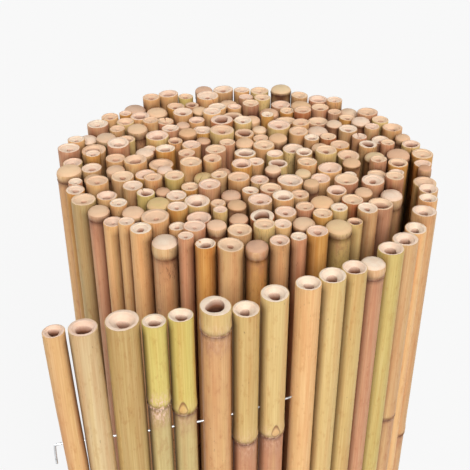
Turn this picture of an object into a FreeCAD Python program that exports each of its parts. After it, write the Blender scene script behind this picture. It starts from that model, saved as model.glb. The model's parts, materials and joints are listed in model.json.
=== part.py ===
# Bamboo fence panel, rolled up and standing on end: canes strung side by side on three wires.
# Millimetres, +Z up. The origin is under the middle of the roll's box, on the floor.
import FreeCAD, Part
import math
import os

# Driving sizes
SIZES = (
    ("cane_length", 1000, "mean cut length of a cane, the height of the panel"),
    ("length_spread", 4, "most that a cane is longer or shorter than the mean"),
    ("cane_thin", 8, "diameter of the thinnest cane"),
    ("cane_thick", 17, "diameter of the thickest cane"),
    ("bore_thin", 2.4, "bore of the thinnest cane"),
    ("bore_thick", 8.2, "bore of the thickest cane"),
    ("bore_depth", 14, "depth of the open bore of a cane in the loose end"),
    ("pith_depth", 5, "depth of the pith hollow in the end of a cane in the roll"),
    ("internode", 290, "height from one node to the next"),
    ("node_swell", 0.35, "how far a node stands out from the top of the internode below it"),
    ("node_rise", 3, "height of the step at a node"),
    ("cane_gap", 0.3, "space between neighbouring canes in the roll"),
    ("slit", 1, "wider space left between some canes at the back of the outer turn"),
    ("turn_gap", 0.4, "least space between one turn and the next"),
    ("turn_slack", 1.6, "pitch of the turns beyond the mean cane"),
    ("turn_wobble", 2, "how far a turn wanders in and out"),
    ("core_radius", 8, "distance of the first cane from the middle of the roll"),
    ("flap_gap", 0.4, "usual space between canes in the loose end"),
    ("wire_size", 1.2, "thickness of a wire"),
    ("hole_clearance", 0.2, "space round a wire in its hole"),
    ("wire_inset", 71, "height of a wire row from the ends of the canes"),
    ("wire_tail", 14, "length of the bent end of a wire"),
)

# Counts and directions
ROLLED_CANES = 213
OUTER_TURN_CANES = 50
ROLLED_SIDES = 8
FLAP_SIDES = 8
BORE_SIDES = 6
CLOSED_END_EVERY = 4
INNER_TURNS = ("second_turn_canes", "third_turn_canes", "fourth_turn_canes", "fifth_turn_canes",
               "sixth_turn_canes", "core_canes")
LEAVING_AZIMUTH = -14
FLAP_FIRST_HEADING = 267
FLAP_LAST_HEADING = 191
FLAP_STRAIGHTENING = 1.9
HEADING_STEP = 1
LEAST_WIRE_BEND = 2
TWO_TURNS_BACK = 110
WANDERS_PER_TURN = 2.37
WIDER_THAN_DEEP = 0.045
SQUARE_SIDES = 4

# Shares of a turn that scatter sizes and lengths evenly but irregularly from cane to cane
SIZE_SCATTER = (0.618034, 0.754878)
LENGTH_SCATTER = (0.569840, 0.324718)

# Canes of the outer turn, counted from the free edge, that stand off from the next cane, in slits
SLITS = {27: 1.3, 29: 1, 30: 1, 32: 1, 36: 2.3, 41: 1}

# The loose end, from its free edge inwards: share of the way from thin to thick, gap to the next cane
# in flap gaps, length over the mean in length spreads, depth of the first node in internodes
FLAP = (
    (0.34, 2.2, 0.63, 0.52),
    (0.70, 7.0, 0.7, 0.71),
    (0.98, 1.0, 1.0, 0.41),
    (0.48, 1.0, 0.28, 0.18),
    (0.52, 7.0, 0.57, 0.21),
    (0.90, 1.0, 1.0, 0.062),
    (0.70, 2.0, -0.49, 0.286),
    (0.72, 12.0, 0.96, 0.307),
    (0.62, 1.0, 1.0, 0.79),
    (0.74, 1.0, 0.85, 0.55),
    (0.63, 1.0, 0.63, 0.88),
    (0.59, 3.0, 0.24, 0.03),
    (0.70, 2.0, 0.35, 0.655),
    (0.73, 1.2, -0.16, 0.45),
    (0.52, 4.0, -0.25, 0.93),
    (0.72, 2.5, 0.47, 0.60),
    (0.36, 2.0, 0.6, 0.765),
    (0.41, 1.0, 0.4, 0.48),
)

doc = FreeCAD.newDocument("BambooFencePanel")
sheet = doc.addObject("Spreadsheet::Sheet", "Sizes")
for row, (alias, value, meaning) in enumerate(SIZES, start=1):
    sheet.set("A%d" % row, str(value))
    sheet.setAlias("A%d" % row, alias)
    sheet.set("B%d" % row, meaning)
doc.recompute()


def size(alias):
    return float(sheet.get(alias))


def unit(degrees):
    """The level direction at an angle from +X."""
    return FreeCAD.Vector(math.cos(math.radians(degrees)), math.sin(math.radians(degrees)), 0)


def azimuth(vector):
    return math.degrees(math.atan2(vector.y, vector.x))


def scatter(number, ratios):
    """An irregular share from 0 to 1, the mean of some even ones, so that middling shares are common."""
    return sum((number * ratio) % 1 for ratio in ratios) / len(ratios)


class Cane:
    """What one cane is cut to, and where it stands."""

    def __init__(self, share, lift, sides):
        self.share = share
        self.lift = lift
        self.sides = sides
        self.radius = (size("cane_thin") + (size("cane_thick") - size("cane_thin")) * share) / 2
        self.centre = FreeCAD.Vector(0, 0, 0)
        self.turned = 0
        self.gap = 0

    def radius_formula(self):
        return "(Sizes.cane_thin + (Sizes.cane_thick - Sizes.cane_thin) * %.3f) / 2" % self.share

    def bore_formula(self):
        return "(Sizes.bore_thin + (Sizes.bore_thick - Sizes.bore_thin) * %.3f) / 2" % self.share

    def length_formula(self):
        return "(Sizes.cane_length + Sizes.length_spread * %.3f)" % self.lift

    def corners(self):
        angles = [self.turned + 360 * side / self.sides for side in range(self.sides)]
        return [self.centre + unit(angle) * self.radius for angle in angles]


def rolled_cane(number):
    """A cane of the tight roll, by its number from the core outwards."""
    lift = 2 * scatter(number, LENGTH_SCATTER) - 1
    cane = Cane(scatter(number, SIZE_SCATTER), lift, ROLLED_SIDES)
    from_edge = len(FLAP) + ROLLED_CANES + 1 - number
    cane.gap = size("cane_gap") + size("slit") * SLITS.get(from_edge, 0)
    return cane


def is_clear(point, radius, canes, gap):
    for cane in canes:
        if (point - cane.centre).Length < radius + cane.radius + gap:
            return False
    return True


def wind(canes, first_azimuth):
    """Wind the canes from the core outwards, clockwise from above, each against the one before it.

    A cane that stands off from the one before it rests against the turn beneath.
    """
    mean_cane = (size("cane_thin") + size("cane_thick")) / 2
    pitch = mean_cane + size("turn_slack")
    wobble = size("turn_wobble")
    core = size("core_radius")
    turn_gap = size("turn_gap")
    canes[0].centre = unit(first_azimuth) * core
    wound = 0
    for index in range(1, len(canes)):
        last = canes[index - 1]
        cane = canes[index]
        reach = last.radius + cane.radius + cane.gap
        rests = cane.gap > size("cane_gap")
        least_gap = 0 if rests else turn_gap
        start = azimuth(last.centre)
        heading = start - 180
        beneath = canes[max(index - TWO_TURNS_BACK, 0):index - 1]
        while True:
            point = last.centre + unit(heading) * reach
            passed = (start - azimuth(point)) % 360
            angle = wound + passed
            wander = wobble * math.sin(math.radians(WANDERS_PER_TURN * angle))
            widened = 1 + WIDER_THAN_DEEP * math.cos(math.radians(2 * azimuth(point)))
            wanted = (core + pitch * angle / 360) * widened + wander
            far_enough = rests or point.Length >= wanted
            if passed < 180 and far_enough and is_clear(point, cane.radius, beneath, least_gap):
                break
            heading += HEADING_STEP
        cane.centre = point
        wound = angle


def lay_flap(flap, last):
    """Lay the loose end out from the roll's last cane, curving until it runs along the front."""
    laid = []
    turn_gap = size("turn_gap")
    for index, cane in enumerate(flap):
        gap = size("flap_gap") * FLAP[len(flap) - 1 - index][1]
        left = 1 - index / (len(flap) - 1)
        heading = FLAP_LAST_HEADING + (FLAP_FIRST_HEADING - FLAP_LAST_HEADING) * left ** FLAP_STRAIGHTENING
        reach = last.radius + cane.radius + gap
        others = rolled[:-1] + laid[:-1]
        while not is_clear(last.centre + unit(heading) * reach, cane.radius, others, turn_gap):
            heading += HEADING_STEP
        cane.centre = last.centre + unit(heading) * reach
        laid.append(cane)
        last = cane


def turn_layout(canes, degrees):
    rotation = FreeCAD.Rotation(FreeCAD.Vector(0, 0, 1), degrees)
    for cane in canes:
        cane.centre = rotation.multVec(cane.centre)


def face_neighbours(canes, flap):
    """Turn a corner to the nearest cane wound before, and flats in the loose end, where the holes go."""
    for index, cane in enumerate(canes):
        if cane in flap:
            after = canes[min(index + 1, len(canes) - 1)]
            along = after.centre - canes[index - 1].centre
            cane.turned = azimuth(along) + 180 / cane.sides
        else:
            others = canes[:index] or canes[1:2]
            nearest = min(others, key=lambda other: (other.centre - cane.centre).Length - other.radius)
            cane.turned = azimuth(cane.centre - nearest.centre)


def centre_layout(canes):
    corners = [corner for cane in canes for corner in cane.corners()]
    middle_x = (min(corner.x for corner in corners) + max(corner.x for corner in corners)) / 2
    middle_y = (min(corner.y for corner in corners) + max(corner.y for corner in corners)) / 2
    for cane in canes:
        cane.centre = cane.centre - FreeCAD.Vector(middle_x, middle_y, 0)


# Where every cane stands
rolled = [rolled_cane(number) for number in range(1, ROLLED_CANES + 1)]
wind(rolled, 0)
wind(rolled, LEAVING_AZIMUTH - azimuth(rolled[-1].centre))
turn_layout(rolled, LEAVING_AZIMUTH - azimuth(rolled[-1].centre))
flap = [Cane(share, lift, FLAP_SIDES) for share, gap, lift, node in reversed(FLAP)]
lay_flap(flap, rolled[-1])
face_neighbours(rolled + flap, flap)
centre_layout(rolled + flap)

# Canes counted from the free edge inwards
chain = list(reversed(rolled + flap))
flap_chain = chain[:len(FLAP)]


def stand(feature, cane):
    """Stand a feature on the floor at a cane's place, turned as the cane is."""
    turned = FreeCAD.Rotation(FreeCAD.Vector(0, 0, 1), cane.turned)
    feature.Placement = FreeCAD.Placement(cane.centre, turned)


def make_rolled_cane(name, cane, closed):
    """A plain cane with the hollow of its pith in the top end, or none where a node closes it."""
    body = doc.addObject("Part::Prism", name + "_stem")
    body.Polygon = cane.sides
    body.setExpression("Circumradius", cane.radius_formula())
    body.setExpression("Height", cane.length_formula())
    stand(body, cane)
    if closed:
        return body
    hollow = doc.addObject("Part::Wedge", name + "_pith")
    half_width = "%s / sqrt(2)" % cane.bore_formula()
    hollow.Ymin = 0
    for corner in ("X2min", "X2max", "Z2min", "Z2max"):
        setattr(hollow, corner, 0)
    for corner in ("Xmax", "Zmax"):
        hollow.setExpression(corner, half_width)
    for corner in ("Xmin", "Zmin"):
        hollow.setExpression(corner, "-" + half_width)
    hollow.setExpression("Ymax", "Sizes.pith_depth")
    point_down = FreeCAD.Rotation(FreeCAD.Vector(1, 0, 0), -90)
    hollow.Placement = FreeCAD.Placement(cane.centre, point_down)
    hollow.setExpression("Placement.Base.z", "%s.Height" % body.Name)
    cut = doc.addObject("Part::Cut", name + "_cut")
    cut.Base = body
    cut.Tool = hollow
    return cut


def make_flap_cane(name, cane, node_share, wire_holes):
    """A cane of the loose end: internodes that taper upwards to a step at each node, bored and drilled."""
    length = cane.length_formula()
    swollen = cane.radius_formula()
    slim = "%s - Sizes.node_swell" % swollen
    top = size("cane_length") + size("length_spread") * cane.lift
    steps = int((top - size("node_rise")) / size("internode") - node_share) + 1
    rings = [("0", swollen)]
    for step in reversed(range(steps)):
        node = "%s - Sizes.internode * %.3f" % (length, node_share + step)
        rings.append((node, slim))
        rings.append((node + " + Sizes.node_rise", swollen))
    rings.append((length, slim))
    sections = []
    for number, (height, radius) in enumerate(rings):
        ring = doc.addObject("Part::RegularPolygon", "%s_ring_%d" % (name, number))
        ring.Polygon = cane.sides
        ring.setExpression("Circumradius", radius)
        stand(ring, cane)
        ring.setExpression("Placement.Base.z", height)
        sections.append(ring)
    stem = doc.addObject("Part::Loft", name + "_stem")
    stem.Sections = sections
    stem.Solid = True
    stem.Ruled = True
    tools = list(wire_holes)
    if size("internode") * node_share > size("bore_depth"):
        bore = doc.addObject("Part::Prism", name + "_bore")
        bore.Polygon = BORE_SIDES
        bore.setExpression("Circumradius", cane.bore_formula())
        bore.setExpression("Height", "Sizes.bore_depth")
        stand(bore, cane)
        bore.setExpression("Placement.Base.z", "%s - Sizes.bore_depth" % length)
        tools.append(bore)
    drill = doc.addObject("Part::Compound", name + "_drill")
    drill.Links = tools
    cut = doc.addObject("Part::Cut", name + "_cut")
    cut.Base = stem
    cut.Tool = drill
    return cut


def bends_only(points):
    """The route without the points where it runs on nearly straight."""
    kept = [points[0]]
    for point, following in zip(points[1:], points[2:]):
        bend = azimuth(following - point) - azimuth(point - kept[-1])
        if abs((bend + 180) % 360 - 180) >= LEAST_WIRE_BEND:
            kept.append(point)
    return kept + [points[-1]]


def wire_points(height, reach_in, tail):
    """A wire's route: straight through each cane of the loose end, bending in the gaps between them."""
    inner = flap_chain[-1]
    outer = flap_chain[0]
    points = []
    for near, far in zip(flap_chain, flap_chain[1:]):
        way = far.centre - near.centre
        gap = way.Length - near.radius - far.radius
        points.append(near.centre + way.normalize() * (near.radius + gap / 2))
    bend = size("wire_size")
    outward = (outer.centre - points[0]).normalize()
    edge = outer.centre + outward * (outer.radius + bend)
    inward = (inner.centre - points[-1]).normalize()
    points = bends_only([inner.centre + inward * reach_in] + points[::-1] + [edge])
    points = [point + FreeCAD.Vector(0, 0, height) for point in points]
    if tail:
        turned_down = points[-1] + outward * bend
        points.append(turned_down - FreeCAD.Vector(0, 0, bend))
        points.append(turned_down - FreeCAD.Vector(0, 0, tail))
    return points


def make_bar(name, points, thickness):
    """A square bar along a route."""
    route = doc.addObject("Part::Polygon", name + "_route")
    route.Nodes = points
    route.Close = False
    heading = (points[1] - points[0]).normalize()
    section = doc.addObject("Part::RegularPolygon", name + "_section")
    section.Polygon = SQUARE_SIDES
    section.setExpression("Circumradius", "(%s) / sqrt(2)" % thickness)
    across = FreeCAD.Rotation(FreeCAD.Vector(0, 0, 1), heading)
    squared = FreeCAD.Rotation(FreeCAD.Vector(0, 0, 1), azimuth(heading) + 180 / SQUARE_SIDES)
    section.Placement = FreeCAD.Placement(points[0], across.multiply(squared))
    bar = doc.addObject("Part::Sweep", name + "_bar")
    bar.Sections = [section]
    bar.Spine = (route, [])
    bar.Solid = True
    bar.Frenet = False
    bar.Transition = "Right corner"
    return bar


# Wires and their holes
nodes = {}
wire_holes = []
wire_rows = (
    ("top_wire", size("cane_length") - size("wire_inset")),
    ("middle_wire", size("cane_length") / 2),
    ("bottom_wire", size("wire_inset")),
)
for name, height in wire_rows:
    nodes[name] = make_bar(name, wire_points(height, 0, size("wire_tail")), "Sizes.wire_size")
    hole_route = wire_points(height, size("hole_clearance"), 0)
    wire_holes.append(make_bar(name + "_hole", hole_route, "Sizes.wire_size + 2 * Sizes.hole_clearance"))

# The outer turn, one node for each cane
for number, cane in enumerate(chain[:OUTER_TURN_CANES], start=1):
    name = "cane_%02d" % number
    if number <= len(FLAP):
        nodes[name] = make_flap_cane(name, cane, FLAP[number - 1][3], wire_holes)
    else:
        nodes[name] = make_rolled_cane(name, cane, number % CLOSED_END_EVERY == 0)

# The inner turns, one node for each turn
wound = 0
before = chain[OUTER_TURN_CANES - 1].centre
members = {name: [] for name in INNER_TURNS}
roll_middle = sum((cane.centre for cane in rolled), FreeCAD.Vector(0, 0, 0)) / len(rolled)
for number, cane in enumerate(chain[OUTER_TURN_CANES:], start=OUTER_TURN_CANES + 1):
    passed = azimuth(cane.centre - roll_middle) - azimuth(before - roll_middle)
    wound += (passed + 180) % 360 - 180
    before = cane.centre
    turn = min(int(max(wound, 0) / 360), len(INNER_TURNS) - 1)
    closed = number % CLOSED_END_EVERY == 0
    members[INNER_TURNS[turn]].append(make_rolled_cane("cane_%03d" % number, cane, closed))
for name, canes in members.items():
    if canes:
        nodes[name] = doc.addObject("Part::Compound", name + "_group")
        nodes[name].Links = canes

for name, feature in nodes.items():
    feature.Label = name
doc.recompute()

# Check everything before any of it is written
for feature in doc.Objects:
    if "Invalid" in feature.State or "Error" in feature.State:
        raise RuntimeError("%s did not build" % feature.Label)
for name, feature in nodes.items():
    if feature.Shape.isNull() or not feature.Shape.isValid():
        raise RuntimeError("%s has no valid shape" % name)

os.makedirs("parts", exist_ok=True)
for name, feature in nodes.items():
    feature.Shape.exportStep("parts/%s.step" % name)

panel_length = sum(2 * cane.radius for cane in chain)
print("%d canes, %.0f mm of panel, %d nodes" % (len(chain), panel_length, len(nodes)))
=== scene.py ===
from collections import namedtuple
import json
import math

import bpy
import numpy as np
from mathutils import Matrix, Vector


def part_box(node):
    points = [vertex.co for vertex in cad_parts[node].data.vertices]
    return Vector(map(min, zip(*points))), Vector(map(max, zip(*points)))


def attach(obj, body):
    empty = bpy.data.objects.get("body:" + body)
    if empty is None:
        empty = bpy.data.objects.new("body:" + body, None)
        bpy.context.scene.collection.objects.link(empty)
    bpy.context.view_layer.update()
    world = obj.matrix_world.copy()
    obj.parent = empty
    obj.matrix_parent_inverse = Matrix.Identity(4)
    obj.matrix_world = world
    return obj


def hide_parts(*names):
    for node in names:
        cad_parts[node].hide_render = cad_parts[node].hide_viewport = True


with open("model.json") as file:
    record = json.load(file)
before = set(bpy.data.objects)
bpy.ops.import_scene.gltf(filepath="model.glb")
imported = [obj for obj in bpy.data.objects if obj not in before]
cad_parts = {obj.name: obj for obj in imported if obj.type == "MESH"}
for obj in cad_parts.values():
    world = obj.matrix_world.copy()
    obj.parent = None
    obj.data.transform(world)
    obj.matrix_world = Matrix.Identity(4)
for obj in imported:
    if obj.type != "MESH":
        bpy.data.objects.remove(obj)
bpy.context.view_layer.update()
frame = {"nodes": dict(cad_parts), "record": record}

# Units, files and nodes
MM = 0.001
TURN = 2 * math.pi
SEED = 31
OUTER_CANES = 50
SECOND_TURN = "second_turn_canes"
WIRES = ("top_wire", "middle_wire", "bottom_wire")

# A ring of points round a cane: the zone of the faces that follow it, how far it takes the outline of the
# bore, the darkness of a cut or a bore (painted shade at a step and down a bore), and a node's scar and bloom
SKIN, CUT, PITH = 0, 1, 2
Ring = namedtuple("Ring", "radius height zone bored deep scar bloom", defaults=(0.0, 0.0, 0.0))

# Columns of faces round a cane, more where it is seen closer
LOOSE_COLUMNS = 44
OUTER_COLUMNS = 34
SECOND_TURN_COLUMNS = 26
INNER_COLUMNS = 24

# Solids of the frame: distance within which points are one, and the share of the radius outside which all
# points of a closed top lie
WELD = 0.05 * MM
CLOSED_FROM = 0.7

# Nodes of a cane: their distance, what it loses at each node further down, and the lowest place for one
INTERNODE = 290 * MM
INTERNODE_LOSS = 0.04
LEAST_FOOT = 20 * MM

# Skin: how far it lies inside the solid's radius at the foot and an internode above the top, the length from
# which a plain stretch gets more rings and how many, and the angle from which an edge is sharp
TAPER_LOW = 0.03 * MM
TAPER_HIGH = 0.30 * MM
LONG_STEP = 30 * MM
SKIN_STEPS = 2
SHARP_EDGE = math.radians(42)

# Cut ends: the round of an edge, how ragged it is and in how many waves, how far down the slant of the cut
# reaches, and how far the bore is from round
RIM = 0.32 * MM
RAGGED = 0.13 * MM
RAGGED_WAVES = (5, 9)
CUT_DEPTH = 25 * MM
BORE_OVAL = 0.10
BORE_CORNERS = 0.06

# Bottom ends: depth of the bore, round at its floor, and its least share of the radius
FOOT_BORE_DEPTH = 12 * MM
FOOT_BORE_ROUND = 1 * MM
LEAST_FOOT_BORE = 0.3

# Top ends with a hole: the step down into the sunk bowl as shares of the radius, its darkness, the slope from
# there to an open bore or to a hole in pith, and the bores from which there is no bowl and full darkness
STEP_WIDTH = 0.05
STEP_DROP = 0.09
# Painted shade in the crease at the foot of the step
STEP_SHADE = 0.35
FUNNEL_SLOPE = 0.80
PITH_SLOPE = 0.34
OPEN_BORE = 0.60
# Painted shade inside an open bore, full from this bore on
DARK_BORE = 0.64

# A bowl from its step inwards: how far out a ring lies between hole and step, share of the drop, how far it
# takes the outline of the bore, darkness
PITH_FORM = (
    (0.60, 0.30, 0.5, 0.08),
    (0.20, 0.78, 0.8, 0.25),
)
FUNNEL_FORM = (
    (0.60, 0.30, 0.5, 0.03),
    (0.20, 0.78, 0.8, 0.12),
)

# A hole from its edge down: share of its radius, depth, darkness. The depth is a share of the whole depth in
# pith, a share of the hole's radius on the wall of a bore, and metres more than the bore's depth on its floor
# The darkness of a hole is the pith's own brown together with painted shade that grows deeper down
PITH_HOLE = ((1.0, 0.0, 0.15), (0.8, 0.5, 0.45), (0.5, 1.0, 0.65), (0.0, 1.0, 0.65))
BORE_WALL = ((1.0, 0.0, 0.1), (0.97, 0.40, 0.5), (0.95, 1.10, 1.0))
BORE_FLOOR = ((0.84, 0.0), (0.40, 0.3 * MM), (0.0, 0.1 * MM))

# Closed top ends: shoulder and dome as shares of the radius, and the darkness of the shoulder's foot
SHOULDER = 0.42
SHOULDER_RINGS = 4
SHOULDER_SHADE = 0.5
DOME = 0.11

# A dome from its shoulder inwards: share of the rim, share of the dome below the top, darkness
DOME_FORM = ((0.42, 0.45, 0.0), (0.20, 0.10, 0.10), (0.0, 0.0, 0.20))

# A node from below upwards in millimetres: height over the scar and inset of the surface, with the darkness
# of the scar and of the brown bloom
NODE_FORM = (
    (-18.0, 0.30, 0.0, 0.35),
    (-9.0, 0.29, 0.0, 0.75),
    (-3.5, 0.26, 0.0, 1.0),
    (-1.2, 0.18, 0.55, 0.9),
    (-0.5, -0.06, 1.0, 0.1),
    (-0.1, -0.08, 1.0, 0.0),
    (0.4, 0.20, 0.8, 0.0),
    (1.3, 0.06, 0.4, 0.0),
    (2.5, -0.10, 0.1, 0.0),
    (3.8, -0.10, 0.0, 0.0),
    (7.0, -0.02, 0.0, 0.0),
    (13.0, 0.02, 0.0, 0.0),
    (20.0, 0.03, 0.0, 0.0),
)

# A bud in millimetres: half its width, height of its widest part over the scar, how far it goes up and down
# from there, and the heights over the scar between which it can show
BUD_HALF_WIDTH = 2.5
BUD_WIDEST = 3.6
BUD_UP = 5.6
BUD_DOWN = 3.0
BUD_REACH = (-10, 14)

# What differs from cane to cane: shares of all canes, ranges that values are drawn from, and the most of
# those that are drawn from nothing upwards
HOLLOW_SHARE = 0.22
SPLIT_SHARE = 0.09
MOULD_SHARE = 0.12
SHADES = (0.95, 1.10)
PITH_BORES = (0.16, 0.36)
HOLLOW_BORES = (0.40, 0.66)
MOUTHS = (0.72, 0.84)
FIRST_NODES = (0.05 * INTERNODE, INTERNODE)
CLOSED_NODES = (1.5 * MM, 9 * MM)
HOLLOW_DEPTHS = (20 * MM, 50 * MM)
PITH_DEPTHS = (0.8 * MM, 2 * MM)
SPLIT_LENGTHS = (18 * MM, 70 * MM)
MOULDS = (0.3, 0.8)
MOST_BORE_SHIFT = 0.08
MOST_TILT = math.radians(3.2)
MOST_OVAL = 0.025
MOST_BROWNING = 0.7

# A split: half its width, how far the cut drops in it, and how far the skin goes in as a share of the radius
SPLIT_HALF_WIDTH = 0.55 * MM
SPLIT_DROP = 3.2 * MM
SPLIT_INWARD = 0.4

# Painted shade in crevices, darkening the skin: the room to the next cane in which it lies, in the roll and
# on the loose end, and the depth below the top at which it is full
SHADE_ROOM = 6 * MM
LOOSE_SHADE_ROOM = 4 * MM
SHADE_FADE = 6 * MM

# Colours of the skin and of the cut ends, as seen
SKIN_TONES = {
    "tan": (210, 167, 119),
    "peach": (224, 176, 122),
    "apricot": (236, 190, 133),
    "straw": (222, 192, 130),
    "oat": (217, 190, 144),
    "yellow_olive": (207, 184, 112),
    "yellow_green": (218, 200, 114),
    "grey_olive": (184, 158, 108),
    "pink_brown": (206, 151, 115),
    "orange": (210, 155, 84),
    "russet": (188, 118, 76),
    "mauve": (190, 141, 110),
    "sage": (206, 190, 130),
    "khaki": (197, 166, 108),
    "flax": (212, 181, 118),
}
CUT_TONES = {
    "cream": (251, 230, 206),
    "shell": (249, 223, 199),
    "rose": (247, 215, 191),
    "wheat": (245, 213, 179),
    "tan": (240, 204, 171),
}

# Tones of the tight turns and how common each is
ROLLED_TONES = {
    "tan": 0.16,
    "peach": 0.26,
    "apricot": 0.08,
    "straw": 0.13,
    "yellow_olive": 0.03,
    "pink_brown": 0.17,
    "orange": 0.12,
    "grey_olive": 0.02,
    "russet": 0.03,
    "mauve": 0.03,
}

# The tone above the node of a closed end, and its share there
CLOSED_TONE = (224, 192, 158)
CLOSED_TONE_SHARE = 0.5

# The loose end from its free edge inwards: skin tone, tone below the first node, cut tone, bore as a share
# of the radius, first node as a share of an internode below the top, chafing at the node, bow in millimetres
LOOSE_END = (
    ("peach", "peach", "rose", 0.50, 0.52, 0.0, 3.2),
    ("oat", "tan", "rose", 0.50, 0.71, 0.0, 2.5),
    ("khaki", "yellow_olive", "shell", 0.36, 0.41, 0.0, 0.0),
    ("yellow_green", "sage", "cream", 0.45, 0.18, 1.0, 0.0),
    ("yellow_green", "sage", "cream", 0.44, 0.21, 0.2, 0.0),
    ("straw", "peach", "cream", 0.60, 0.046, 0.25, 0.0),
    ("flax", "pink_brown", "cream", 0.38, 0.300, 0.3, 0.0),
    ("straw", "pink_brown", "cream", 0.42, 0.323, 0.3, 0.0),
    ("apricot", "apricot", "cream", 0.38, 0.79, 0.0, 0.0),
    ("straw", "straw", "cream", 0.43, 0.55, 0.0, 0.0),
    ("flax", "tan", "shell", 0.48, 0.88, 0.0, 0.0),
    ("peach", "pink_brown", "cream", 0.0, 0.03, 0.0, 0.0),
    ("yellow_olive", "yellow_olive", "shell", 0.48, 0.655, 0.0, 0.0),
    ("tan", "tan", "shell", 0.45, 0.45, 0.0, 0.0),
    ("apricot", "peach", "cream", 0.40, 0.93, 0.0, 0.0),
    ("tan", "tan", "shell", 0.42, 0.60, 0.0, 0.0),
    ("peach", "peach", "cream", 0.44, 0.765, 0.0, 0.0),
    ("tan", "tan", "shell", 0.44, 0.48, 0.0, 0.0),
)
LOOSE_BORE_DEPTH = 30 * MM
LOOSE_BULGE = 3.0

# A cane is fully bowed from this depth below its top down to this height over its foot
BOW_DEPTH = 0.12
BOW_FOOT = 0.6

# How strongly a bud shows, the direction to the front, the turn that hides a bud from there, and the loose
# canes with a bud in view, by number, with its turn
QUIET_BUD = 0.35
CLEAR_BUD = 1.0
TO_FRONT = math.radians(-92)
BUD_HIDDEN = math.radians(75)
FRONT_BUDS = {5: 0.0, 8: math.radians(22)}

# Canes of the second turn that show between the loose end and the roll, from the left: skin tone, tone
# below the first node, depth of the first node in millimetres, mould
FRONT_ROW = (
    ("grey_olive", "yellow_olive", 130, 0.0),
    ("mauve", "pink_brown", 6, 0.0),
    ("peach", "pink_brown", 190, 0.0),
    ("peach", "tan", 150, 0.0),
    ("peach", "pink_brown", 220, 0.2),
    ("straw", "tan", 10, 0.9),
    ("pink_brown", "tan", 160, 0.0),
    ("orange", "orange", 210, 0.0),
    ("tan", "peach", 140, 0.1),
    ("pink_brown", "orange", 8, 0.3),
    ("tan", "pink_brown", 170, 0.3),
    ("pink_brown", "tan", 200, 0.2),
    ("orange", "orange", 150, 0.0),
    ("straw", "yellow_olive", 6, 0.4),
    ("straw", "yellow_olive", 180, 0.0),
    ("tan", "tan", 160, 0.0),
    ("mauve", "pink_brown", 190, 0.0),
)
# Painted light: the tones of these canes are lifted to make up for the shade that the loose end casts on them
FRONT_PAINTED_LIGHT = 1.1

# Wire: its radius and tail, the fineness of its mesh round it and along it, and the order of its curve
WIRE_RADIUS = 0.6 * MM
WIRE_TAIL = 14 * MM
WIRE_ROUNDNESS = 2
WIRE_STEPS = 6
WIRE_ORDER = 3

# Noise of the materials: waves in a metre, detail, stretch along the canes, roughness
Grain = namedtuple("Grain", "scale detail along roughness", defaults=(1.0, 0.55))
PATCHES = Grain(190, 3, along=0.05)
STREAKS = Grain(1500, 5, along=0.016)
MOTTLE = Grain(330, 5, along=0.4, roughness=0.65)
FLECKS = Grain(1300, 2, along=0.22)
SCRATCHES = Grain(900, 5, along=0.35, roughness=0.7)
STAINS = Grain(95, 2, along=0.4)
FIBRES = Grain(2600, 2)
CLOUD = Grain(260, 4)
FUZZ = Grain(1400, 4)
SPANGLE = Grain(900, 3)

# Tints of the materials, as seen: the colour, the values of a pattern from which and to which it grows, and
# its share there
Tint = namedtuple("Tint", "colour start end least most", defaults=(0.0, 1.0))
PINK_PATCHES = Tint((245, 216, 200), 0.48, 0.72, 0.0, 0.7)
YELLOW_PATCHES = Tint((236, 208, 132), 0.48, 0.26, 0.0, 0.25)
DARK_STREAKS = Tint((226, 200, 176), 0.35, 0.70, 0.0, 0.4)
PALE_STREAKS = Tint((250, 226, 178), 0.52, 0.28, 0.0, 0.14)
DARK_MOTTLE = Tint((224, 188, 162), 0.54, 0.76, 0.0, 0.6)
BLOOM = Tint((174, 122, 94), 0.3, 0.7, 0.25, 0.75)
SCAR = Tint((98, 56, 36), 0.3, 0.65, 0.55, 1.0)
DARK_FLECKS = Tint((116, 76, 50), 0.70, 0.78, 0.0, 0.6)
CHAFED = Tint((232, 196, 172), 0.46, 0.60)
MOULD = Tint((78, 50, 30), 0.52, 0.66)
# Painted shade that darkens the skin in the crevices between canes
CREVICE_SHADE = Tint((84, 40, 16), 0.25, 0.75, 1.0, 0.75)
BUD_BODY = Tint((230, 172, 122), 0.0, 1.0, 0.0, 0.4)
BUD_EDGE = Tint((122, 72, 44), 0.0, 1.0, 0.0, 0.8)
CUT_CLOUD = Tint((238, 192, 152), 0.42, 0.70, 0.0, 0.32)
CUT_FIBRES = Tint((208, 158, 118), 0.56, 0.72, 0.0, 0.25)
# Darker where the cut is sunk: painted shade in a step's crease, and the tan of a closed end's shoulder
CUT_SUNK = Tint((200, 150, 116), 0.0, 1.0, 0.0, 0.58)
PITH_FUZZ = Tint((186, 136, 110), 0.4, 0.7, 0.0, 0.3)
# Darker down a bore: the pith's own brown together with painted shade
BORE_BROWN = Tint((150, 98, 72), 0.1, 0.7)
BORE_DARK = Tint((84, 54, 40), 0.6, 1.0)
ZINC_SPANGLE = Tint((226, 228, 230), 0.35, 0.65)
ZINC = (176, 178, 180)
PITH_TONE = (222, 176, 152)
PITH_TONE_SHARE = 0.35

# Masks of the skin, each from nothing to full: stains that carry mould, chafing below and above a node by the
# millimetres over it, and a bud by how far the skin faces as it does
STAINED = (0.42, 0.56)
CHAFED_BELOW = (-14.0, -5.0)
CHAFED_ABOVE = (12.0, 4.0)
BUD_FACING = (0.35, 0.75)

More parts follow.
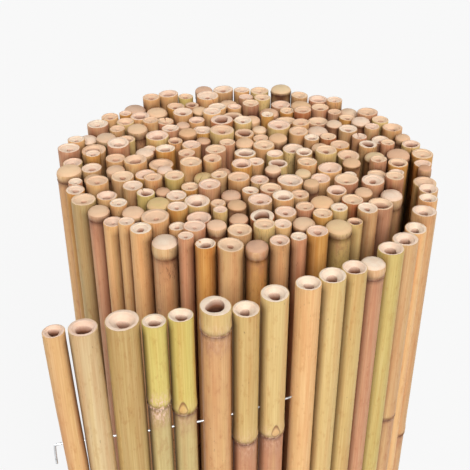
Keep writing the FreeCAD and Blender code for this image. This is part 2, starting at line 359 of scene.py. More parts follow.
# Masks of a bud by the way from its middle, 0, to its outline, 1: its body, and its dark edge from inside and
# from outside, with the share of the edge's darkness from its foot to its tip
BUD_INSIDE = (1.0, 0.75)
EDGE_FROM_INSIDE = (0.45, 0.80)
EDGE_FROM_OUTSIDE = (1.15, 0.95)
EDGE_SHADES = (0.45, 1.0)

# Relief of the mottle and of the buds against that of the streaks
MOTTLE_RELIEF = 0.5
BUD_RELIEF = 2.5

# Finish of the materials: roughness, or its range over a pattern, specular level, and the bump
Finish = namedtuple("Finish", "roughness specular bump bump_height")
ROUGHNESS_PATTERN = (0.3, 0.7)
SKIN_FINISH = Finish((0.44, 0.60), 0.28, 0.35, 0.15 * MM)
CUT_FINISH = Finish(0.8, 0.25, 0.4, 0.15 * MM)
PITH_FINISH = Finish(0.9, 0.15, 0.5, 0.2 * MM)
WIRE_FINISH = Finish((0.28, 0.50), 0.5, 0.2, 0.1 * MM)

# Sockets of the node that mixes two colours
MIX_FIRST, MIX_SECOND, MIX_RESULT = 6, 7, 2

# Floor: half its width, its grey and its roughness, and how white it and the backdrop are where they are seen
FLOOR_HALF = 12.0
FLOOR_GREY = 0.7
FLOOR_ROUGHNESS = 0.9
FLOOR_WHITENESS = 0.85
BACKDROP_LEVEL = 0.94

# Light in degrees: a soft key lamp from the front and two low ones that fill the sides and the back
Lamp = namedtuple("Lamp", "level elevation azimuth softness")
SKY_LEVEL = 0.08
LAMPS = {
    "key": Lamp(level=3.3, elevation=38, azimuth=8, softness=34),
    "fill_left": Lamp(level=1.1, elevation=10, azimuth=-130, softness=20),
    "fill_right": Lamp(level=1.1, elevation=10, azimuth=130, softness=20),
}

# Camera as the photograph has it, from the middle of the roll at the height of its tops
CAMERA_OFFSET = Vector((-0.0065, -0.4925, 0.265))
CAMERA_PITCH = math.radians(33.5)
FRAME_PIXELS = 470
FOCAL_PIXELS = 880
SENSOR = 36


def linear(seen):
    """A seen colour of 0 to 255 as the linear values that shaders use, by the sRGB curve."""
    share = np.asarray(seen, float) / 255
    return np.where(share <= 0.04045, share / 12.92, ((share + 0.055) / 1.055) ** 2.4)


def smooth(share):
    """A soft ramp from 0 to 1."""
    share = min(max(share, 0.0), 1.0)
    return share * share * (3 - 2 * share)


def mix(share, first, second):
    """A colour between two others."""
    return (1 - share) * first + share * second


class Cane:
    """Where one cane stands in the frame, and what makes it differ from the others."""

    def __init__(self, points):
        foot = points[points[:, 2] < WELD]
        self.centre = foot[:, :2].mean(axis=0)
        self.radius = np.linalg.norm(foot[:, :2] - self.centre, axis=1).max()
        self.top = points[:, 2].max()
        head = points[points[:, 2] > self.top - WELD]
        inmost = np.linalg.norm(head[:, :2] - self.centre, axis=1).min()
        self.closed = inmost > CLOSED_FROM * self.radius
        self.bow = 0.0
        self.chafe = 0.0
        self.bulge = 1.0
        self.shade_room = SHADE_ROOM
        self.bud = QUIET_BUD


def read_solids(mesh):
    """The points of each separate solid of a mesh."""
    places = np.empty(len(mesh.vertices) * 3)
    mesh.vertices.foreach_get("co", places)
    places = places.reshape(-1, 3)
    unique, which = np.unique(np.round(places / WELD).astype(int), axis=0, return_inverse=True)
    which = which.ravel()
    leader = list(range(len(unique)))

    def first(index):
        while leader[index] != index:
            index = leader[index]
        return index

    for polygon in mesh.polygons:
        corners = [first(which[vertex]) for vertex in polygon.vertices]
        for corner in corners:
            leader[first(corner)] = first(corners[0])
    solids = {}
    for place, index in zip(places, which):
        solids.setdefault(first(index), []).append(place)
    return [np.array(points) for points in solids.values()]


def read_canes(node):
    """The canes of a node, one for each of its solids, in order round the roll."""
    canes = [Cane(points) for points in read_solids(frame["nodes"][node].data)]
    return sorted(canes, key=lambda cane: math.atan2(cane.centre[1], cane.centre[0]))


def give_rolled_looks(cane, draw):
    """Scattered looks for a cane of the tight turns."""
    names = list(ROLLED_TONES)
    weights = np.array(list(ROLLED_TONES.values()))
    upper, lower = draw.choice(len(names), 2, p=weights / weights.sum())
    shade = draw.uniform(*SHADES)
    cane.tone = linear(SKIN_TONES[names[upper]]) * shade
    cane.low_tone = (cane.tone + linear(SKIN_TONES[names[lower]]) * shade) / 2
    cane.bore = draw.uniform(*PITH_BORES)
    cane.hollow = draw.random() < HOLLOW_SHARE
    if cane.hollow:
        cane.bore = draw.uniform(*HOLLOW_BORES)
    cane.node_depth = draw.uniform(*FIRST_NODES)
    if cane.closed:
        cane.node_depth = draw.uniform(*CLOSED_NODES)


def give_common_looks(cane, draw):
    """What differs a little on every cane."""
    cut_tones = list(CUT_TONES.values())
    cane.cut_tone = linear(cut_tones[draw.integers(len(cut_tones))])
    cane.bore_depth = draw.uniform(*(HOLLOW_DEPTHS if cane.hollow else PITH_DEPTHS))
    cane.bore_shift = draw.uniform(0, MOST_BORE_SHIFT) * cane.radius
    cane.bore_turn = draw.uniform(0, TURN)
    cane.tilt = math.tan(draw.uniform(0, MOST_TILT))
    cane.tilt_turn = draw.uniform(0, TURN)
    cane.oval = draw.uniform(0, MOST_OVAL)
    cane.oval_turn = draw.uniform(0, TURN / 2)
    cane.split = draw.random() < SPLIT_SHARE
    cane.split_turn = draw.uniform(0, TURN)
    cane.split_length = draw.uniform(*SPLIT_LENGTHS)
    cane.bud_turn = draw.uniform(0, TURN)
    cane.mould = draw.uniform(*MOULDS) * (draw.random() < MOULD_SHARE)
    cane.cut_tone = mix(draw.uniform(0, MOST_BROWNING) * cane.closed, cane.cut_tone, cane.tone)
    cane.mouth = draw.uniform(*MOUTHS)


def give_loose_looks(cane, tone, low_tone, cut_tone, bore, node_share, chafe, bow):
    """The looks of a cane of the loose end."""
    cane.tone = linear(SKIN_TONES[tone])
    cane.low_tone = linear(SKIN_TONES[low_tone])
    cane.cut_tone = linear(CUT_TONES[cut_tone])
    cane.bore = bore
    cane.hollow = True
    cane.bore_depth = LOOSE_BORE_DEPTH
    cane.bulge = LOOSE_BULGE
    cane.shade_room = LOOSE_SHADE_ROOM
    cane.mould = 0.0
    cane.node_depth = INTERNODE * node_share
    cane.chafe = chafe
    cane.bow = bow * MM
    cane.split = False
    cane.bud_turn = TO_FRONT + BUD_HIDDEN


def give_front_looks(cane, tone, low_tone, node_depth, mould):
    """The looks of a cane that shows behind the loose end, its tones lifted as painted light against the
    loose end's shade.
    """
    cane.tone = linear(SKIN_TONES[tone]) * FRONT_PAINTED_LIGHT
    cane.low_tone = linear(SKIN_TONES[low_tone]) * FRONT_PAINTED_LIGHT
    cane.node_depth = node_depth * MM
    cane.mould = mould
    cane.bud_turn = TO_FRONT + BUD_HIDDEN


def foot_rings(cane, skin_radius):
    """The bored bottom end, from the middle of its floor outwards."""
    bore = max(cane.bore, LEAST_FOOT_BORE) * cane.radius
    return [
        Ring(0.0, FOOT_BORE_DEPTH, PITH, bored=1, deep=1.0),
        Ring(bore / 2, FOOT_BORE_DEPTH, PITH, bored=1, deep=1.0),
        Ring(bore, FOOT_BORE_DEPTH - FOOT_BORE_ROUND, PITH, bored=1, deep=0.9),
        Ring(bore, RIM, CUT, bored=1, deep=0.3),
        Ring(bore + RIM, 0.0, CUT, bored=1, deep=0.2),
        Ring((bore + skin_radius) / 2, 0.0, CUT, bored=0.5, deep=0.1),
        Ring(skin_radius - RIM, 0.0, CUT, bored=0),
    ]


def closed_head(cane, rim):
    """A top end that a node closes: a low dome with a round shoulder."""
    shoulder = SHOULDER * cane.radius
    dome = DOME * cane.radius
    rings = []
    for step in range(1, SHOULDER_RINGS + 1):
        angle = step / SHOULDER_RINGS * TURN / 4
        radius = rim - shoulder * (1 - math.cos(angle))
        height = cane.top - dome - shoulder * (1 - math.sin(angle))
        rings.append(Ring(radius, height, CUT, bored=0, deep=SHOULDER_SHADE * math.cos(angle)))
    for share, fall, deep in DOME_FORM:
        rings.append(Ring(share * rim, cane.top - fall * dome, CUT, bored=0, deep=deep))
    return rings


def bowl_rings(cane, rim, hole, slope, form):
    """The flat cut of the wall, a step down from it and a bowl to the hole, and the height of the hole."""
    mouth = cane.mouth * rim
    start = mouth - STEP_WIDTH * cane.radius
    ledge = cane.top - STEP_DROP * cane.radius
    drop = slope * (start - hole)
    rings = [
        Ring(rim - RIM, cane.top, CUT, bored=0),
        Ring(mouth, cane.top, CUT, bored=0.3),
        Ring(start, ledge, CUT, bored=0.4, deep=STEP_SHADE),
    ]
    for out, fall, bored, deep in form:
        rings.append(Ring(out * start + (1 - out) * hole, ledge - fall * drop, CUT, bored, deep))
    return rings, ledge - drop


def pith_head(cane, rim):
    """A top end filled with soft pith that has sunk and shrunk to a small hole."""
    hole = cane.bore * cane.radius
    rings, height = bowl_rings(cane, rim, hole, PITH_SLOPE, PITH_FORM)
    for share, fall, deep in PITH_HOLE:
        rings.append(Ring(share * hole, height - fall * cane.bore_depth, PITH, bored=1, deep=deep))
    return rings


def hollow_head(cane, rim):
    """A top end with an open bore, with painted shade inside that is darker the wider the bore is."""
    hole = cane.bore * cane.radius
    if cane.bore < OPEN_BORE:
        rings, height = bowl_rings(cane, rim, hole, FUNNEL_SLOPE, FUNNEL_FORM)
    else:
        rings = [Ring(rim - RIM, cane.top, CUT, bored=0), Ring(hole + RIM, cane.top, CUT, bored=1)]
        height = cane.top - RIM
    dark = min(cane.bore / DARK_BORE, 1.0)
    for share, fall, deep in BORE_WALL:
        rings.append(Ring(share * hole, height - fall * hole, PITH, bored=1, deep=deep * dark))
    for share, fall in BORE_FLOOR:
        rings.append(Ring(share * hole, height - cane.bore_depth - fall, PITH, bored=1, deep=1.0))
    return rings


def head_rings(cane, rim):
    """The top end from its rim inwards."""
    if cane.closed:
        return closed_head(cane, rim)
    if cane.hollow:
        return hollow_head(cane, rim)
    return pith_head(cane, rim)


def skin_top(cane):
    """The height at which a cane's skin ends."""
    return cane.top - ((DOME + SHOULDER) * cane.radius if cane.closed else RIM)


def node_heights(cane):
    """Heights of the nodes from the top down, a little closer together towards the foot."""
    heights = []
    depth = cane.node_depth
    while depth < cane.top - LEAST_FOOT:
        heights.append(cane.top - depth)
        depth += INTERNODE * (1 - INTERNODE_LOSS * len(heights))
    return heights


def skin_rings(cane):
    """The skin from the foot to the rim, close at the nodes and wide apart between them."""
    stations = [(0.0, TAPER_LOW, 0, 0)]
    for node in reversed(node_heights(cane)):
        for over, inset, scar, bloom in NODE_FORM:
            bulge = cane.bulge if inset < 0 else 1.0
            stations.append((node + over * MM, inset * bulge * MM, scar, bloom))
    stations.append((cane.top + INTERNODE, TAPER_HIGH, 0, 0))
    stations = np.array(stations)
    low, high = RIM, skin_top(cane)
    heights = [low]
    for station in [*sorted([*stations[1:-1, 0], high - SHADE_FADE]), high]:
        station = min(max(station, low), high)
        if station - heights[-1] > LONG_STEP:
            heights.extend(np.linspace(heights[-1], station, SKIN_STEPS + 2)[1:-1])
        if station - heights[-1] > WELD:
            heights.append(station)
    heights[-1] = high
    looks = [np.interp(heights, stations[:, 0], stations[:, column]) for column in (1, 2, 3)]
    return [Ring(cane.radius - inset, height, SKIN, bored=0, scar=scar, bloom=bloom)
            for height, inset, scar, bloom in zip(heights, *looks)]


def cane_rings(cane):
    """All rings of a cane, from the middle of its foot over the skin to the middle of its top."""
    skin = skin_rings(cane)
    return foot_rings(cane, skin[0].radius) + skin + head_rings(cane, skin[-1].radius)


def cane_turns(cane, columns):
    """Directions of the columns round a cane, with three more where it is split."""
    turns = np.arange(columns) * TURN / columns
    if cane.split:
        half = SPLIT_HALF_WIDTH / cane.radius
        turns = np.sort(np.concatenate((turns, cane.split_turn + np.array((-half, 0, half)))))
    return turns


def ring_points(cane, ring, turns):
    """The points of one ring: oval, bored off its middle, cut at a slant, ragged, split and bowed."""
    oval = 1 + cane.oval * (np.cos(2 * (turns - cane.oval_turn)) - 1)
    bore = 1 + BORE_OVAL * np.cos(2 * turns + cane.bore_turn)
    bore = bore + BORE_CORNERS * np.cos(3 * turns - cane.bore_turn)
    across = ring.radius * (oval * (1 - ring.bored) + bore * ring.bored)
    x = across * np.cos(turns) + ring.bored * cane.bore_shift * math.cos(cane.bore_turn)
    y = across * np.sin(turns) + ring.bored * cane.bore_shift * math.sin(cane.bore_turn)
    depth = cane.top - ring.height
    near_top = max(0.0, 1 - depth / CUT_DEPTH)
    slant = x * math.cos(cane.tilt_turn) + y * math.sin(cane.tilt_turn) - cane.radius
    z = ring.height + cane.tilt * near_top * slant
    if ring.zone == CUT and depth < 2 * RIM and not cane.closed:
        few, many = RAGGED_WAVES
        z = z - RAGGED * (1 + np.sin(few * turns + cane.oval_turn) * np.sin(many * turns + cane.bore_turn))
    if cane.split:
        groove = np.isclose(turns, cane.split_turn)
        open_share = max(0.0, 1 - depth / cane.split_length)
        inward = 1 - SPLIT_INWARD * open_share * (ring.zone == SKIN)
        x = np.where(groove, x * inward, x)
        y = np.where(groove, y * inward, y)
        z = np.where(groove & (ring.zone == CUT) & (depth < CUT_DEPTH), z - SPLIT_DROP, z)
    bow = cane.bow * smooth(depth / BOW_DEPTH) * smooth(ring.height / BOW_FOOT)
    return np.stack((x + cane.centre[0] + bow, y + cane.centre[1], z), axis=1)


def bud_looks(cane, rings, turns):
    """Where each point lies round the nearest bud, in millimetres across and up, and how far it faces it."""
    nodes = np.array(node_heights(cane) or [2 * cane.top])
    heights = np.array([ring.height for ring in rings])
    nearest = np.abs(heights[:, None] - nodes[None]).argmin(axis=1)
    over = (heights - nodes[nearest]) / MM
    near = (over > BUD_REACH[0]) & (over < BUD_REACH[1])
    off = turns[None] - (cane.bud_turn + TURN / 2 * nearest)[:, None]
    return {
        "bud_side": np.sin(off) * cane.radius / MM,
        "bud_front": np.cos(off) * near[:, None],
        "bud_over": np.repeat(over, len(turns)).reshape(len(over), -1),
    }


def crevice_shade_looks(cane, rings, turns):
    """Painted shade in the crevices: most where another cane is closest, and none at the top."""
    around = np.stack((np.cos(turns), np.sin(turns)), axis=1)
    places = cane.centre + cane.radius * around
    centres = np.array([other.centre for other in standing if other is not cane])
    radii = np.array([other.radius for other in standing if other is not cane])
    room = (np.linalg.norm(places[:, None] - centres[None], axis=2) - radii[None]).min(axis=1)
    close = np.clip(1 - room / cane.shade_room, 0, 1)
    fade = np.array([smooth((cane.top - ring.height) / SHADE_FADE) for ring in rings])
    return {"crevice_shade": fade[:, None] * close[None]}


def cane_mesh(cane, columns):
    """Points, faces, zones of the faces and looks of the points of one closed cane."""
    rings = cane_rings(cane)
    turns = cane_turns(cane, columns)
    count = len(turns)
    rows = [ring_points(cane, ring, turns) for ring in rings]
    points = np.concatenate(rows[1:-1] + [rows[0].mean(axis=0)[None], rows[-1].mean(axis=0)[None]])
    faces, zones = [], []
    for row, ring in enumerate(rings[1:-2]):
        low, high = row * count, (row + 1) * count
        for column in range(count):
            following = (column + 1) % count
            faces.append((low + column, low + following, high + following, high + column))
        zones.extend([ring.zone] * count)
    low_pole, high_pole = len(points) - 2, len(points) - 1
    edge = (len(rings) - 3) * count
    for column in range(count):
        following = (column + 1) % count
        faces.append((low_pole, following, column))
        faces.append((high_pole, edge + column, edge + following))
        zones.extend((rings[0].zone, rings[-1].zone))

    def spread(values):
        return np.concatenate((np.repeat(values[1:-1], count), (values[0], values[-1])))

    above = spread([float(ring.height > cane.top - cane.node_depth) for ring in rings])[:, None]
    around = bud_looks(cane, rings, turns) | crevice_shade_looks(cane, rings, turns)
    looks = {look: np.concatenate((values[1:-1].ravel(), (0, 0))) for look, values in around.items()}
    looks |= {look: spread([getattr(ring, look) for ring in rings]) for look in ("deep", "scar", "bloom")}
    looks |= {look: np.full(len(points), getattr(cane, look)) for look in ("bud", "chafe", "mould")}
    looks["tone"] = mix(above, cane.low_tone, cane.tone)
    looks["cut"] = np.tile(cane.cut_tone, (len(points), 1))
    return points, faces, zones, looks


def add_piece(name, mesh):
    """A piece that stands for the node of the same name, whose part it hides."""
    piece = bpy.data.objects.new(name + "_looks", mesh)
    bpy.context.scene.collection.objects.link(piece)
    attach(piece, "root")
    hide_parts(name)


def make_canes(name, canes, columns, materials):
    """One piece of one or more canes."""
    points, faces, zones, looks = [], [], [], {}
    base = 0
    for cane in canes:
        cane_points, cane_faces, cane_zones, cane_looks = cane_mesh(cane, columns)
        points.append(cane_points)
        faces.extend([tuple(base + corner for corner in face) for face in cane_faces])
        zones.extend(cane_zones)
        for look, values in cane_looks.items():
            looks.setdefault(look, []).append(values)
        base += len(cane_points)
    mesh = bpy.data.meshes.new(name + "_looks")
    mesh.from_pydata(np.concatenate(points), [], faces)
    for material in materials:
        mesh.materials.append(material)
    mesh.polygons.foreach_set("material_index", zones)
    for look, values in looks.items():
        values = np.concatenate(values)
        if values.ndim == 2:
            layer = mesh.attributes.new(look, "FLOAT_VECTOR", "POINT")
            layer.data.foreach_set("vector", values.ravel())
        else:
            layer = mesh.attributes.new(look, "FLOAT", "POINT")
            layer.data.foreach_set("value", values)
    mesh.shade_smooth()
    mesh.set_sharp_from_angle(angle=SHARP_EDGE)
    add_piece(name, mesh)


def wire_route(canes, height):
    """A wire's line from the last cane of the loose end to its free edge, and down over it."""
    flat = [Vector((*cane.centre, height)) for cane in canes]
    points = [flat[-1]]
    for near, far, near_at, far_at in reversed(list(zip(canes, canes[1:], flat, flat[1:]))):
        way = far_at - near_at
        gap = way.length - near.radius - far.radius
        points.append(near_at + way.normalized() * (near.radius + gap / 2))
    outward = (flat[0] - points[-1]).normalized()
    thickness = 2 * WIRE_RADIUS
    points.append(flat[0] + outward * (canes[0].radius + thickness))
    turned_down = points[-1] + outward * thickness
    points.append(turned_down - Vector((0, 0, thickness)))
    points.append(turned_down - Vector((0, 0, WIRE_TAIL)))
    return points


def make_wire(name, points, material):
    """A round wire along a route, bent smoothly at its points."""
    curve = bpy.data.curves.new(name + "_line", "CURVE")
    curve.dimensions = "3D"
    curve.bevel_depth = WIRE_RADIUS
    curve.bevel_resolution = WIRE_ROUNDNESS
    curve.use_fill_caps = True
    curve.resolution_u = WIRE_STEPS
    spline = curve.splines.new("NURBS")
    spline.points.add(len(points) - 1)
    for place, point in zip(spline.points, points):
        place.co = (*point, 1)
    spline.order_u = WIRE_ORDER
    spline.use_endpoint_u = True
    line = bpy.data.objects.new(name + "_line", curve)
    mesh = bpy.data.meshes.new_from_object(line)
    bpy.data.objects.remove(line)
    mesh.materials.clear()
    mesh.materials.append(material)
    mesh.shade_smooth()
    add_piece(name, mesh)


class Nodes:
    """A node tree, with short ways to add and join nodes."""

    def __init__(self, tree):
        self.tree = tree

    def add(self, kind, **settings):
        node = self.tree.nodes.new("ShaderNode" + kind)
        for setting, value in settings.items():
            setattr(node, setting, value)
        return node

    def feed(self, value, target):
        """Gives an input a socket, a number or a seen colour."""
        if isinstance(value, bpy.types.NodeSocket):
            self.tree.links.new(value, target)
        elif isinstance(value, tuple):
            target.default_value = (*linear(value), 1.0)
        else:
            target.default_value = value

    def math(self, operation, first, second):
        node = self.add("Math", operation=operation)
        self.feed(first, node.inputs[0])
        self.feed(second, node.inputs[1])
        return node.outputs[0]

    def product(self, first, *others):
        for other in others:
            first = self.math("MULTIPLY", first, other)
        return first

    def mix_shaders(self, share, first, second, output):
        mixer = self.add("MixShader")
        self.feed(share, mixer.inputs[0])
        self.feed(first.outputs[0], mixer.inputs[1])
        self.feed(second.outputs[0], mixer.inputs[2])
        self.feed(mixer.outputs[0], self.tree.nodes[output].inputs["Surface"])

    def seen_rays(self):
        """One where the background is seen, straight or in metal, and nothing where it only gives light."""
        rays = self.add("LightPath")
        seen = rays.outputs["Is Camera Ray"]
        for kind in ("Is Glossy Ray", "Is Transmission Ray"):
            seen = self.math("MAXIMUM", seen, rays.outputs[kind])
        return seen


class Shader(Nodes):
    """The node tree of a material."""

    def __init__(self, name):
        self.material = bpy.data.materials.new(name)
        self.material.use_nodes = True
        super().__init__(self.material.node_tree)
        self.surface = self.tree.nodes["Principled BSDF"]

    def number(self, name):
        return self.add("Attribute", attribute_name=name).outputs["Fac"]

    def tone(self, name):
        return self.add("Attribute", attribute_name=name).outputs["Vector"]

    def noise(self, grain):
        """Noise in object space, drawn out along the canes."""
        place = self.add("TexCoord")
        stretch = self.add("Mapping")
        stretch.inputs["Scale"].default_value = (grain.scale, grain.scale, grain.scale * grain.along)
        noise = self.add("TexNoise")
        noise.inputs["Scale"].default_value = 1.0
        noise.inputs["Detail"].default_value = grain.detail
        noise.inputs["Roughness"].default_value = grain.roughness
        self.feed(place.outputs["Object"], stretch.inputs["Vector"])
        self.feed(stretch.outputs["Vector"], noise.inputs["Vector"])
        return noise.outputs["Fac"]

    def span(self, value, start, end, least=0.0, most=1.0):
        """A value taken from one range to another, held at its ends."""
        node = self.add("MapRange")
        self.feed(value, node.inputs["Value"])
        node.inputs["From Min"].default_value = start
        node.inputs["From Max"].default_value = end
        node.inputs["To Min"].default_value = least
        node.inputs["To Max"].default_value = most
        return node.outputs["Result"]

    def blend(self, share, first, second, how="MIX"):
        """Two colours mixed by a share. A colour is a socket or a seen colour."""
        node = self.add("Mix", data_type="RGBA", blend_type=how)
        self.feed(share, node.inputs["Factor"])
        self.feed(first, node.inputs[MIX_FIRST])
        self.feed(second, node.inputs[MIX_SECOND])
        return node.outputs[MIX_RESULT]

    def tint(self, colour, tint, pattern, mask=None, how="MIX"):
        """A colour tinted as a pattern says, and only within a mask."""
        share = self.span(pattern, tint.start, tint.end, tint.least, tint.most)
        if mask is not None:
            share = self.product(mask, share)
        return self.blend(share, colour, tint.colour, how)

    def finish(self, colour, finish, relief, pattern=None):
        """The material with a colour, a gloss that may follow a pattern, and a bump."""
        roughness = finish.roughness
        if pattern is not None:
            roughness = self.span(pattern, *ROUGHNESS_PATTERN, *roughness)
        bump = self.add("Bump")
        bump.inputs["Strength"].default_value = finish.bump
        bump.inputs["Distance"].default_value = finish.bump_height
        self.feed(relief, bump.inputs["Height"])
        self.feed(colour, self.surface.inputs["Base Color"])
        self.feed(roughness, self.surface.inputs["Roughness"])
        self.feed(finish.specular, self.surface.inputs["Specular IOR Level"])
        self.feed(bump.outputs["Normal"], self.surface.inputs["Normal"])
        return self.material


def skin_material():
    """Satin skin of a dry cane: patches, fine streaks, flecks, scars and bloom at nodes, buds, chafing, mould
    and painted shade in crevices.
    """
    shader = Shader("bamboo_skin")
    patches = shader.noise(PATCHES)
    streaks = shader.noise(STREAKS)
    mottle = shader.noise(MOTTLE)
    scratches = shader.noise(SCRATCHES)
    colour = shader.tone("tone")
    colour = shader.tint(colour, PINK_PATCHES, patches, how="MULTIPLY")
    colour = shader.tint(colour, YELLOW_PATCHES, patches)
    colour = shader.tint(colour, DARK_STREAKS, streaks, how="MULTIPLY")
    colour = shader.tint(colour, PALE_STREAKS, streaks)
    colour = shader.tint(colour, DARK_MOTTLE, mottle, how="MULTIPLY")
    colour = shader.tint(colour, BLOOM, mottle, shader.number("bloom"))
    colour = shader.tint(colour, SCAR, mottle, shader.number("scar"))
    colour = shader.tint(colour, DARK_FLECKS, shader.noise(FLECKS))
    colour = shader.tint(colour, CHAFED, scratches, chafed_mask(shader))
    stained = shader.span(shader.noise(STAINS), *STAINED)
    colour = shader.tint(colour, MOULD, scratches, shader.product(shader.number("mould"), stained))
    bud, edge = bud_masks(shader)
    colour = shader.tint(colour, BUD_BODY, bud)
    colour = shader.tint(colour, BUD_EDGE, edge)
    # Painted shade in the crevices between canes, strongest where another cane is near
    colour = shader.tint(colour, CREVICE_SHADE, mottle, shader.number("crevice_shade"), how="MULTIPLY")
    relief = shader.math("ADD", streaks, shader.product(mottle, MOTTLE_RELIEF))
    relief = shader.math("ADD", relief, shader.product(bud, BUD_RELIEF))
    return shader.finish(colour, SKIN_FINISH, relief, mottle)


def chafed_mask(shader):
    """Round a node, as far as a cane is chafed there."""
    over = shader.number("bud_over")
    close = shader.product(shader.span(over, *CHAFED_BELOW), shader.span(over, *CHAFED_ABOVE))
    return shader.product(shader.number("chafe"), close)


def bud_masks(shader):
    """The sleeping bud over a node, round below and pointed above: its body and its dark edge."""
    side = shader.number("bud_side")
    across = shader.product(side, side, BUD_HALF_WIDTH ** -2)
    over = shader.math("SUBTRACT", shader.number("bud_over"), BUD_WIDEST)
    above = shader.product(shader.math("MAXIMUM", over, 0.0), 1 / BUD_UP)
    below = shader.product(shader.math("MINIMUM", over, 0.0), 1 / BUD_DOWN)
    reach = shader.math("ADD", across, shader.math("ADD", above, shader.product(below, below)))
    facing = shader.span(shader.number("bud_front"), *BUD_FACING)
    shown = shader.product(shader.number("bud"), facing)
    body = shader.product(shader.span(reach, *BUD_INSIDE), shown)
    from_inside = shader.span(reach, *EDGE_FROM_INSIDE)
    from_outside = shader.span(reach, *EDGE_FROM_OUTSIDE)
    shade = shader.span(over, -BUD_DOWN, BUD_UP, *EDGE_SHADES)
    return body, shader.product(from_inside, from_outside, shade, shown)


def cut_material():
    """Sawn end of a cane: pale at the rim, tan towards the pith with painted shade in a step's crease, with
    fibre specks.
    """
    shader = Shader("bamboo_cut")
    fibres = shader.noise(FIBRES)
    colour = shader.tint(shader.tone("cut"), CUT_CLOUD, shader.noise(CLOUD))
    colour = shader.tint(colour, CUT_FIBRES, fibres)
    colour = shader.tint(colour, CUT_SUNK, shader.number("deep"))
    return shader.finish(colour, CUT_FINISH, fibres)


def pith_material():
    """Wall of the bore: pinkish cream above, brown and dark further down, the pith's brown with painted
    shade.
    """
    shader = Shader("bamboo_pith")
    fuzz = shader.noise(FUZZ)
    deep = shader.number("deep")
    colour = shader.blend(PITH_TONE_SHARE, shader.tone("cut"), PITH_TONE)
    colour = shader.tint(colour, PITH_FUZZ, fuzz)
    colour = shader.tint(colour, BORE_BROWN, deep)
    colour = shader.tint(colour, BORE_DARK, deep)
    return shader.finish(colour, PITH_FINISH, fuzz)


def wire_material():
    """Galvanised wire: dull zinc with a fine spangle."""
    shader = Shader("galvanised_wire")
    spangle = shader.noise(SPANGLE)
    shader.surface.inputs["Metallic"].default_value = 1.0
    return shader.finish(shader.tint(ZINC, ZINC_SPANGLE, spangle), WIRE_FINISH, spangle, spangle)


def floor_material():
    """Pale studio floor, lifted towards white where it is seen, with the shadow kept."""
    shader = Shader("studio_floor")
    shader.surface.inputs["Base Color"].default_value = (FLOOR_GREY, FLOOR_GREY, FLOOR_GREY, 1)
    shader.surface.inputs["Roughness"].default_value = FLOOR_ROUGHNESS
    shader.surface.inputs["Specular IOR Level"].default_value = 0.0
    lifted = shader.product(shader.seen_rays(), FLOOR_WHITENESS)
    shader.mix_shaders(lifted, shader.surface, shader.add("Emission"), "Material Output")
    return shader.material


def studio_world():
    """A dim even sky that shows as the same white as the floor."""
    world = bpy.data.worlds.new("studio")
    world.use_nodes = True
    nodes = Nodes(world.node_tree)
    sky = nodes.tree.nodes["Background"]
    backdrop = nodes.add("Background")
    for background, level in ((sky, SKY_LEVEL), (backdrop, BACKDROP_LEVEL)):
        background.inputs["Color"].default_value = (1, 1, 1, 1)
        background.inputs["Strength"].default_value = level
    nodes.mix_shaders(nodes.seen_rays(), sky, backdrop, "World Output")
    return world


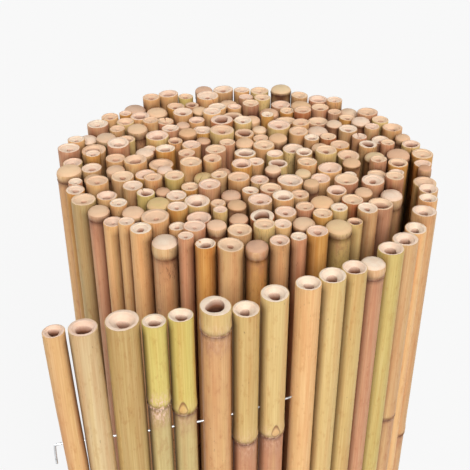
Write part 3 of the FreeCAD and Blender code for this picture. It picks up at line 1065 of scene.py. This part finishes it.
# Canes
slots = {row["node"]: row["material_slot"] for row in frame["record"]["subparts"]}
outer = ["cane_%02d" % number for number in range(1, OUTER_CANES + 1)]
loose = outer[:len(LOOSE_END)]
inner_turns = sorted(node for node in slots if node.endswith("_canes"))
groups = {node: read_canes(node) for node in [*outer, *inner_turns]}
standing = [cane for canes in groups.values() for cane in canes]
loose_end = [groups[node][0] for node in loose]
rolled = [cane for cane in standing if cane not in loose_end]
for index, cane in enumerate(standing):
    draw = np.random.default_rng((SEED, index))
    give_rolled_looks(cane, draw)
    give_common_looks(cane, draw)
for cane, looks in zip(loose_end, LOOSE_END):
    give_loose_looks(cane, *looks)
for cane, looks in zip(groups[SECOND_TURN], FRONT_ROW):
    give_front_looks(cane, *looks)
for cane in standing:
    if cane.closed:
        cane.tone = mix(CLOSED_TONE_SHARE, cane.tone, linear(CLOSED_TONE))
for number, turn in FRONT_BUDS.items():
    loose_end[number - 1].bud_turn = TO_FRONT + turn
    loose_end[number - 1].bud = CLEAR_BUD
columns = dict.fromkeys(inner_turns, INNER_COLUMNS) | {SECOND_TURN: SECOND_TURN_COLUMNS}
columns |= dict.fromkeys(outer, OUTER_COLUMNS) | dict.fromkeys(loose, LOOSE_COLUMNS)
bamboo = (skin_material(), cut_material(), pith_material())
for node, canes in groups.items():
    make_canes(node, canes, columns[node], bamboo)

# Wires
zinc = wire_material()
for name in WIRES:
    low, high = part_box(name)
    make_wire(name, wire_route(loose_end, high.z - WIRE_RADIUS), zinc)

# Floor
floor_mesh = bpy.data.meshes.new("floor")
floor_mesh.from_pydata([(-FLOOR_HALF, -FLOOR_HALF, 0), (FLOOR_HALF, -FLOOR_HALF, 0),
                        (FLOOR_HALF, FLOOR_HALF, 0), (-FLOOR_HALF, FLOOR_HALF, 0)], [], [(0, 1, 2, 3)])
floor_mesh.materials.append(floor_material())
floor = bpy.data.objects.new("floor", floor_mesh)
bpy.context.scene.collection.objects.link(floor)

# Light
bpy.context.scene.world = studio_world()
for name, lamp in LAMPS.items():
    sun_data = bpy.data.lights.new(name, "SUN")
    sun_data.energy = lamp.level
    sun_data.angle = math.radians(lamp.softness)
    sun = bpy.data.objects.new(name, sun_data)
    sun.rotation_euler = (math.radians(90 - lamp.elevation), 0, math.radians(lamp.azimuth))
    bpy.context.scene.collection.objects.link(sun)

# Camera
lowest = np.min([cane.centre - cane.radius for cane in rolled], axis=0)
highest = np.max([cane.centre + cane.radius for cane in rolled], axis=0)
roll_top = Vector((*(lowest + highest) / 2, np.mean([cane.top for cane in rolled])))
camera_data = bpy.data.cameras.new("camera")
camera_data.sensor_width = SENSOR
camera_data.lens = SENSOR * FOCAL_PIXELS / FRAME_PIXELS
camera = bpy.data.objects.new("camera", camera_data)
camera.location = roll_top + CAMERA_OFFSET
camera.rotation_euler = (math.pi / 2 - CAMERA_PITCH, 0, 0)
bpy.context.scene.collection.objects.link(camera)
bpy.context.scene.camera = camera
bpy.context.scene.view_settings.view_transform = "Standard"
